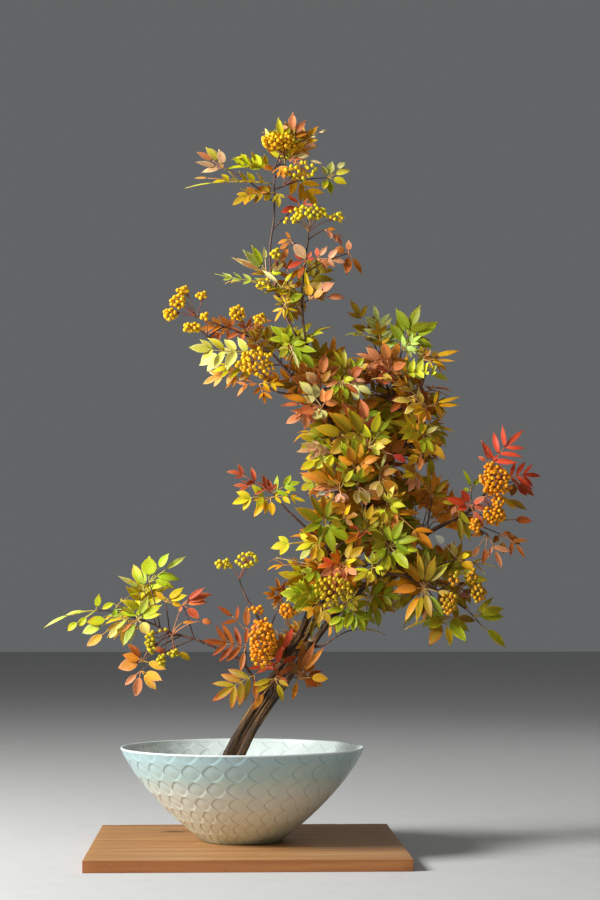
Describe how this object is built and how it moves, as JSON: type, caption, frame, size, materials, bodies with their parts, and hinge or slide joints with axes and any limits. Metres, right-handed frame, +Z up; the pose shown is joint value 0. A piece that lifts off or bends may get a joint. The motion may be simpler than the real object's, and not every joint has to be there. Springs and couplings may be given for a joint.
{
  "type": "ikebana arrangement",
  "caption": "Tall leaning ikebana of rowan branches with autumn leaves and berries in a wide footed celadon bowl with a pin holder, on a wooden display board.",
  "frame": {"origin": "on the bowl's axis, at the underside of the display board", "axes": "+Z up, front towards -Y, +X to the right, the way the branches lean"},
  "size_m": [0.8321, 0.486, 1.2331],
  "materials": {
    "board_wood": "oiled, fine horizontal grain, slightly worn edges",
    "celadon_glaze": "glossy celadon over carved fish scales, blue-green above and warm cream below",
    "water": "clear still water",
    "kenzan_metal": "dull grey cast holder",
    "kenzan_brass": "brass pins",
    "rowan_bark": "dark brown bark with pale lenticels",
    "leaf_lime": "satin leaf, yellow-green",
    "leaf_olive": "satin leaf, olive green with brown tips",
    "leaf_gold": "satin leaf, golden yellow",
    "leaf_amber": "satin leaf, amber orange",
    "leaf_salmon": "satin leaf, salmon pink",
    "leaf_red": "satin leaf, red",
    "leaf_russet": "satin leaf, red-brown",
    "berry_yellow": "waxy yellow-green berry",
    "berry_gold": "waxy golden berry",
    "berry_orange": "waxy orange berry"
  },
  "bodies": {
    "root": {"display_board": "board_wood", "bowl": "celadon_glaze", "water": "water", "kenzan_base": "kenzan_metal", "kenzan_pins": "kenzan_brass", "left_stem": "rowan_bark", "middle_stem": "rowan_bark", "right_stem": "rowan_bark", "crown_top_leaves": "leaf_amber", "crown_left_leaves": "leaf_gold", "crown_lower_leaves": "leaf_lime", "upper_leaves": "leaf_salmon", "neck_left_leaves": "leaf_olive", "neck_right_leaves": "leaf_salmon", "left_orange_leaves": "leaf_salmon", "left_green_leaf": "leaf_olive", "left_lower_leaf": "leaf_amber", "left_hanging_leaves": "leaf_salmon", "shoulder_green_leaves": "leaf_lime", "shoulder_salmon_leaf": "leaf_salmon", "upright_green_leaves": "leaf_lime", "top_right_tall_leaves": "leaf_lime", "top_right_fan_leaves": "leaf_olive", "top_right_salmon_leaf": "leaf_salmon", "far_right_upper_leaves": "leaf_lime", "right_cream_leaves": "leaf_gold", "centre_high_leaves": "leaf_olive", "centre_right_leaves": "leaf_olive", "centre_left_leaves": "leaf_amber", "centre_middle_leaves": "leaf_olive", "left_shoot_leaves": "leaf_gold", "left_yellow_leaves": "leaf_gold", "centre_low_leaves": "leaf_olive", "bottom_green_leaves": "leaf_lime", "lower_right_leaves": "leaf_olive", "far_right_low_leaves": "leaf_lime", "red_top_leaves": "leaf_red", "red_left_leaf": "leaf_red", "red_hanging_leaves": "leaf_russet", "low_left_top_leaves": "leaf_lime", "low_left_long_leaves": "leaf_lime", "low_left_near_leaves": "leaf_lime", "low_left_hanging_leaves": "leaf_salmon", "trunk_left_leaves": "leaf_russet", "trunk_right_leaves": "leaf_russet", "crown_berries": "berry_yellow", "crown_lower_berries": "berry_yellow", "upper_berries": "berry_yellow", "far_left_berries": "berry_gold", "left_small_berries": "berry_gold", "left_middle_berries": "berry_gold", "left_big_berries": "berry_gold", "twig_berries": "berry_yellow", "low_left_berries": "berry_yellow", "trunk_berries": "berry_orange", "trunk_upper_berries": "berry_orange", "centre_berries": "berry_yellow", "red_upper_berries": "berry_orange", "red_lower_berries": "berry_orange", "lower_right_berries": "berry_orange"}
  },
  "joints": []
}
